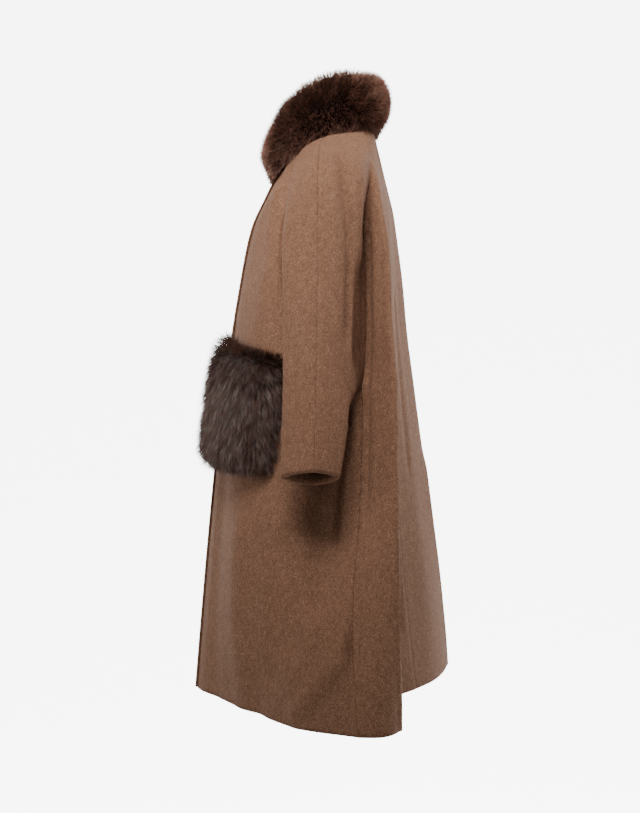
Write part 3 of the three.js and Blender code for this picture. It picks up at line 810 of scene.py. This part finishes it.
def collar_section(top, below, n, n_below):
    """The collar's section at a point of the neck seam. front is 0 behind and 1 in front."""
    up = unit(top - below)
    radial = unit(np.array([top[0], top[1] - NECK_Y, 0]))
    front = (1 - radial[1]) / 2
    height = COLLAR_HEIGHT + COLLAR_RISE * (1 - 2 * front) + COLLAR_CREST * math.sin(math.pi * front)
    lean = COLLAR_LEAN_BACK + (COLLAR_LEAN_FRONT - COLLAR_LEAN_BACK) * front**2
    swell = COLLAR_FRONT_SWELL * front**3
    inside = top - n * CLOTH
    base = np.array([top[0], top[1], min(top[2], inside[2])])
    overlap = COLLAR_OVERLAP_BACK + (COLLAR_OVERLAP_FRONT - COLLAR_OVERLAP_BACK) * front**2
    lip = top + (below - top) * overlap / np.linalg.norm(below - top) + n_below * COLLAR_LIP
    ring = [
        base + [0, 0, level * height]
        + radial * (lean * min(1, 0.3 + level * 1.6) + out * COLLAR_DEPTH + swell * (1 - level))
        for out, level in COLLAR_CORE
    ]
    return [inside + up * 0.9, top + n * 0.6 + up * 0.6, lip, *ring]


def collar_sections():
    left, right = neck_ring("left"), neck_ring("right")
    columns = [collar_section(*left[:, k]) for k in range(left.shape[1])]
    columns += [collar_section(*right[:, k]) for k in range(right.shape[1] - 1, -1, -1)]
    return np.array(columns)


def tube_faces(sections, size):
    at = np.arange(sections * size).reshape(sections, size)
    beside = np.roll(at, -1, axis=1)
    return np.stack([at[:-1], at[1:], beside[1:], beside[:-1]], axis=-1).reshape(-1, 4)


sections = collar_sections()
sections[0, :, 0] = np.maximum(sections[0, :, 0], 0) + COLLAR_END
sections[-1, :, 0] = np.minimum(sections[-1, :, 0], 0) - COLLAR_END
count, size = sections.shape[:2]
last = (count - 1) * size
collar_faces = tube_faces(count, size).tolist()
collar_faces += [[0, i, i + 1] for i in range(1, size - 1)]
collar_faces += [[last, last + i + 1, last + i] for i in range(1, size - 1)]
pelts = {"collar": new_piece("collar_pelt", sections.reshape(-1, 3), collar_faces)}
print("collar sections", count, "of", size)

# %% [markdown]
# The pocket is a patch of the same fur, laid on the front between the lap and the sleeve. Its back
# follows the cloth a little way off it. The pelt swells towards its middle and is cut a little
# smaller than the finished pocket, because the hair hangs over its edges, most of all at the bottom.

# %% Pocket pelts
POCKET_FROM, POCKET_TO = 2.6, 4.42  # places along the row of the front, in stops of its lines
POCKET_TOP, POCKET_TOP_FALL, POCKET_BOTTOM, POCKET_BOTTOM_FALL = -350, 27, -532, 10
POCKET_OFF, POCKET_EDGE, POCKET_CROWN = 0.8, 11, 28  # off the cloth, thick at its edge and middle
POCKET_ROWS, POCKET_COLUMNS = 34, 26


def front_point(z, place):
    """A point of the left front at height z, at a place counted in stops of the front's lines."""
    seam = line_at(LINES["raglan_front"] if z > UNDERARM_Z else LINES["side_seam"], z)
    curve = front_curve(lambda line: line_at(line, z), seam)
    steps = np.arange(len(curve))
    return np.array([np.interp(place * CURVE_STEPS, steps, curve[:, k]) for k in range(3)])


def pocket_grid():
    """Points of the cloth under the pocket, and their outward directions."""
    points = np.zeros((POCKET_ROWS, POCKET_COLUMNS, 3))
    for j, out in enumerate(np.linspace(0, 1, POCKET_COLUMNS)):
        place = POCKET_FROM + (POCKET_TO - POCKET_FROM) * out
        top = POCKET_TOP - POCKET_TOP_FALL * out
        bottom = POCKET_BOTTOM - POCKET_BOTTOM_FALL * out
        for i, down in enumerate(np.linspace(0, 1, POCKET_ROWS)):
            points[i, j] = front_point(top + (bottom - top) * down, place)
    normals = unit(np.cross(np.gradient(points, axis=0), np.gradient(points, axis=1)))
    return points, normals


cloth_under, pocket_out = pocket_grid()
across = np.linspace(0, 1, POCKET_COLUMNS)[None, :]
down = np.linspace(0, 1, POCKET_ROWS)[:, None]
swell = (smooth_step(np.minimum(down, 1 - down), 0, 0.12) * smooth_step(across, -0.06, 0.1)
         * smooth_step(1 - across, 0, 0.16)) ** 0.7
thick = POCKET_OFF + POCKET_EDGE + (POCKET_CROWN - POCKET_EDGE) * swell
pelt_front = cloth_under + pocket_out * thick[:, :, None]
pelt_back = cloth_under + pocket_out * POCKET_OFF
for side, mirror in (("left", 1), ("right", -1)):
    sheet_pair = pelt_front * [mirror, 1, 1], pelt_back * [mirror, 1, 1]
    pelts["pocket_" + side] = closed_wall("pocket_pelt_" + side, *sheet_pair)
print("pocket front faces out:", bool(pocket_out[5, 5, 1] < 0))

# %% [markdown]
# All the hairs of one side of the collar, or of one pocket, are one piece. Each hair has a tone of its
# own, from dark to light. The tone and the way along the hair are kept in the piece's map, where the
# material reads them. A few guard hairs are longer, finer and lighter than the rest.

# %% Pieces of hair
GUARD_SHARE = 0.14
TONE_APART = 0.004  # between the two sides of a hair, so that it has a width in the map


def guard(hairs, random):
    """Which of the hairs are guard hairs."""
    return random.random(hairs) < GUARD_SHARE


def hair_piece(name, points, faces, tones, light):
    """Makes the piece, with the lightness of each hair as its tone."""
    sides = [-TONE_APART, TONE_APART] * BLADE_STEPS + [0.0]
    tones[:, 0] = np.repeat(np.clip(light, 0.02, 0.98), BLADE_POINTS) + np.tile(sides, len(light))
    piece = new_piece(name, points, faces)
    corners = np.zeros(len(piece.data.loops), dtype=int)
    piece.data.loops.foreach_get("vertex_index", corners)
    piece.data.uv_layers.new(name="OFBake").uv.foreach_set("vector", tones[corners].ravel())
    print(name, len(light), "hairs,", len(faces) // len(light) * 2 - 1, "triangles each")
    return piece


# %% [markdown]
# The collar's hair parts along the middle of its outside: it is brushed up above the parting and down
# below it, so the top edge bristles and catches the light. Its top and its two ends are also painted
# lighter, as painted rim light. It fans out as from a smooth oval, or else the edges of the core's flat
# faces would show in it as lines.

# %% Hair of the collar
COLLAR_OVAL = np.array([12, 12, 34])
hair = {}


def collar_triangles(inner):
    """Faces of the collar's core as triangles facing out, and which way the hair of each leans."""
    triangles, lies = [], []
    turn = size - len(COLLAR_CORE) // 2  # the section's points before this one are on the outside
    middles = sections[:, -len(COLLAR_CORE):].mean(axis=1)
    for i in range(2, size):
        if (i >= turn) != inner:
            continue
        j = (i + 1) % size
        for k in range(count - 1):
            corners = sections[k, i], sections[k, j], sections[k + 1, j], sections[k + 1, i]
            centre = sum(corners) / 4
            away = centre - (middles[k] + middles[k + 1]) / 2
            for triangle in (corners[:3], (corners[0], corners[2], corners[3])):
                facing = np.dot(np.cross(triangle[1] - triangle[0], triangle[2] - triangle[0]), away) > 0
                triangles.append(triangle if facing else triangle[::-1])
                lies.append(unit(away * [1, 1, 0]) * 0.35)
    ends = () if inner else ((0, -1), (count - 1, 1))
    for k, across_way in ends:
        for i in range(1, size - 1):
            triangle = sections[k, 0], sections[k, i], sections[k, i + 1]
            facing = np.cross(triangle[1] - triangle[0], triangle[2] - triangle[0])[0] * across_way > 0
            triangles.append(triangle if facing else triangle[::-1])
            lies.append(np.array([0.3 * across_way, -0.6, 0]))
    return np.array(triangles), np.array(lies)


def rounded(roots, normals):
    """Normals turned towards those of a smooth oval, and the level of each root on the collar."""
    spots = sections[:, -len(COLLAR_CORE):].mean(axis=1)
    nearest = np.argmin(np.linalg.norm(roots[:, None, :2] - spots[None, :, :2], axis=2), axis=1)
    away = unit((roots - spots[nearest]) / COLLAR_OVAL**2)
    foot, top = sections[:, 0, 2][nearest], sections[:, :, 2].max(axis=1)[nearest]
    return unit(away * 1.5 + normals), np.clip(0.85 * (roots[:, 2] - foot) / (top - foot), 0, 1)


def collar_hair(name, inner, hairs, seed):
    random = np.random.default_rng(seed)
    triangles, lies = collar_triangles(inner)
    roots, normals, pick = scattered(triangles, hairs, random)
    normals, level = rounded(roots, normals)
    wave = lock_wave(roots, 30, seed + 1) + 0.5 * lock_wave(roots, 12, seed + 2)
    parting = 0.36 + 0.07 * lock_wave(roots, 60, seed + 3)[:, 0] + 0.05 * random.normal(size=hairs)
    rise = np.tanh((level - parting) * 2.2)[:, None] * np.array([0, 0, 1])
    lie = unit(unit(rise + lies[pick]) + 0.18 * wave + 0.26 * random.normal(size=(hairs, 3)))
    low = 1 - smooth_step(level, 0.1, 0.35)
    from_side = np.abs(roots[:, 1] - NECK_Y) / NECK_DEPTH
    long = guard(hairs, random)
    length = random.uniform(9, 14, hairs) * (1 + 0.08 * np.tanh(wave[:, 0]))
    length *= (1 - 0.2 * low) * (1 + 0.4 * long)
    width = random.uniform(0.6, 1.0, hairs) * (1 - 0.4 * long)
    bend = random.uniform(0.2, 0.7, hairs)
    growth = unit(normals + 0.10 * wave + 0.12 * random.normal(size=(hairs, 3)))
    points, faces, tones = blades(roots, growth, lie, length, width, bend, random)
    # The top of the collar and its two ends are painted lighter, as painted rim light.
    painted_rim_light = np.maximum(0.9 * smooth_step(level, 0.62, 0.85), 0.6 * smooth_step(from_side, 0.85, 1.25))
    light = 0.10 + 0.5 * painted_rim_light + 0.25 * random.random(hairs) + 0.10 * wave[:, 1] + 0.2 * long
    return hair_piece(name, points, faces, tones, light)


hair["collar"] = [
    collar_hair("collar_hair_outside", False, 34000, 11),
    collar_hair("collar_hair_inside", True, 22000, 21),
]

# %% [markdown]
# The pocket's hair is longer than the collar's and hangs down over its edges. Its top band is short,
# darker and redder than the hair below. Hair grows on the edge of the pelt too, so that no bare side
# shows between the pocket and the cloth.

# %% Hair of the pockets
def pocket_triangles():
    """Triangles of the pelt's front and edge, with the (down, across) and the cloth's way of each."""
    corners = grid_faces(POCKET_ROWS, POCKET_COLUMNS)
    edge = rim_faces(POCKET_ROWS, POCKET_COLUMNS)[0]
    beside = np.roll(edge, -1)
    front, back = pelt_front.reshape(-1, 3), pelt_back.reshape(-1, 3)
    triangles = np.concatenate([
        front[corners[:, [0, 1, 2]]],
        front[corners[:, [0, 2, 3]]],
        np.stack([front[edge], front[beside], back[edge]], axis=1),
        np.stack([back[edge], front[beside], back[beside]], axis=1),
    ])
    first = np.concatenate([corners[:, 0], corners[:, 0], edge, edge])
    shares = np.stack([(down + 0 * across).ravel(), (across + 0 * down).ravel()], axis=1)
    return triangles, shares[first], pocket_out.reshape(-1, 3)[first]


def pocket_hair(name, mirror, hairs, seed):
    random = np.random.default_rng(seed)
    triangles, places, cloth_way = pocket_triangles()
    roots, normals, pick = scattered(triangles, hairs, random)
    low, out = places[pick].T
    normals = unit(normals + cloth_way[pick])
    wave = lock_wave(roots, 24, seed + 1) + 0.6 * lock_wave(roots, 9, seed + 2)
    top = 1 - smooth_step(low, 0.0, 0.09)
    front = 1 - smooth_step(out, 0.05, 0.35)
    long = guard(hairs, random)
    forward = np.array([-0.25, -1, 0])
    lie = np.array([0, 0, 1]) * (1.2 * top - 1)[:, None] + forward * (0.10 - 0.32 * out)[:, None]
    edge = np.clip(1 - np.minimum(out, 1 - out) / 0.12, 0, 1) * np.sign(0.5 - out)
    lie = unit(lie + forward * (0.3 * edge)[:, None] + 0.10 * wave + 0.13 * random.normal(size=(hairs, 3)))
    band = 1 - smooth_step(low + 0.05 * wave[:, 2], 0.18, 0.29)
    length = random.uniform(19, 29, hairs) * (1 - 0.4 * band + 0.4 * band * front)
    length *= (1 + 0.1 * np.tanh(wave[:, 0])) * (1 + 0.3 * long) * (1 + 0.12 * front)
    width = random.uniform(0.5, 0.9, hairs) * (1 - 0.4 * long)
    bend = random.uniform(0.62, 0.95, hairs) - 0.25 * top - 0.1 * front
    growth = unit(normals + 0.12 * wave)
    points, faces, tones = blades(roots, growth, lie, length, width, bend, random)
    light = 0.02 + 0.18 * (1 - band) + 0.48 * random.random(hairs) ** 2 * (1 - 0.6 * band)
    # The hair is painted darker towards the sleeve, as painted shade where the sleeve hangs over the
    # pocket.
    light += 0.11 * wave[:, 1] + 0.2 * long - 0.2 * smooth_step(out, 0.72, 0.95)
    return hair_piece(name, points * [mirror, 1, 1], faces, tones, light)


hair["pocket_left"] = [pocket_hair("pocket_hair_left", 1, 38000, 31)]
hair["pocket_right"] = [pocket_hair("pocket_hair_right", -1, 38000, 41)]

# %% [markdown]
# Each hair is painted darkest at its root, as painted shade where little light gets in, and lightest
# near its tip, as painted light where light shines through it. Its tone is the first number of its map
# and the way along it the second, so one material shades all the hairs of a piece. Fur has a soft
# shine, and the pelt below it is nearly black and dull.

# %% Fur materials
COLLAR_TONES = [(0.0, "#4f3020"), (0.35, "#7c5240"), (0.7, "#b0806a"), (1.0, "#dcbaa2")]
POCKET_TONES = [(0.0, "#40220f"), (0.3, "#5a3d31"), (0.6, "#7e6a61"), (1.0, "#b8a69d")]
PELT_TONES = [(0.35, "#140b08"), (0.7, "#2c1b15")]


def hair_material(name, stops, root_shade):
    material = bpy.data.materials.new(name)
    material.use_nodes = True
    shader = material.node_tree.nodes["Principled BSDF"]
    where = add_node(material, "ShaderNodeUVMap", {"uv_map": "OFBake"})
    split = add_node(material, "ShaderNodeSeparateXYZ", links={"Vector": (where, "UV")})
    tone = ramp(add_node(material, "ShaderNodeValToRGB", links={"Fac": (split, "X")}), stops)
    # painted shade at the root, fading to the hair's full tone near the tip
    along = ramp(add_node(material, "ShaderNodeValToRGB", links={"Fac": (split, "Y")}),
                 [(0.0, root_shade), (0.45, "#a8a8a8"), (0.85, "#ffffff")])
    shade = add_node(material, "ShaderNodeMix", {"data_type": "RGBA", "blend_type": "MULTIPLY", 0: 1.0})
    material.node_tree.links.new(tone.outputs["Color"], shade.inputs[6])
    material.node_tree.links.new(along.outputs["Color"], shade.inputs[7])
    material.node_tree.links.new(shade.outputs[2], shader.inputs["Base Color"])
    shader.inputs["Roughness"].default_value = 0.5
    shader.inputs["Specular IOR Level"].default_value = 0.4
    return material


collar_fur = hair_material("dark_brown_collar_fur", COLLAR_TONES, "#747474")
pocket_fur = hair_material("dark_brown_pocket_fur", POCKET_TONES, "#5c5c5c")

hide = bpy.data.materials.new("dark_brown_pelt")
hide.use_nodes = True
hide_shader = hide.node_tree.nodes["Principled BSDF"]
hide_place = add_node(hide, "ShaderNodeTexCoord")
mottle_settings = {"Scale": 300.0, "Detail": 3.0}  # 3.3 mm apart
mottle = add_node(hide, "ShaderNodeTexNoise", mottle_settings, {"Vector": (hide_place, "Object")})
hide_tone = ramp(add_node(hide, "ShaderNodeValToRGB", links={"Fac": (mottle, "Fac")}), PELT_TONES)
hide.node_tree.links.new(hide_tone.outputs["Color"], hide_shader.inputs["Base Color"])
hide_shader.inputs["Roughness"].default_value = 0.95
hide_shader.inputs["Specular IOR Level"].default_value = 0.1

for node, piece in pelts.items():
    piece.data.materials.append(hide)
    for part in [piece, *hair[node]]:
        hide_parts(node)
    for part in hair[node]:
        part.data.materials.append(collar_fur if node == "collar" else pocket_fur)
print("fur pieces", sum(1 + len(group) for group in hair.values()))
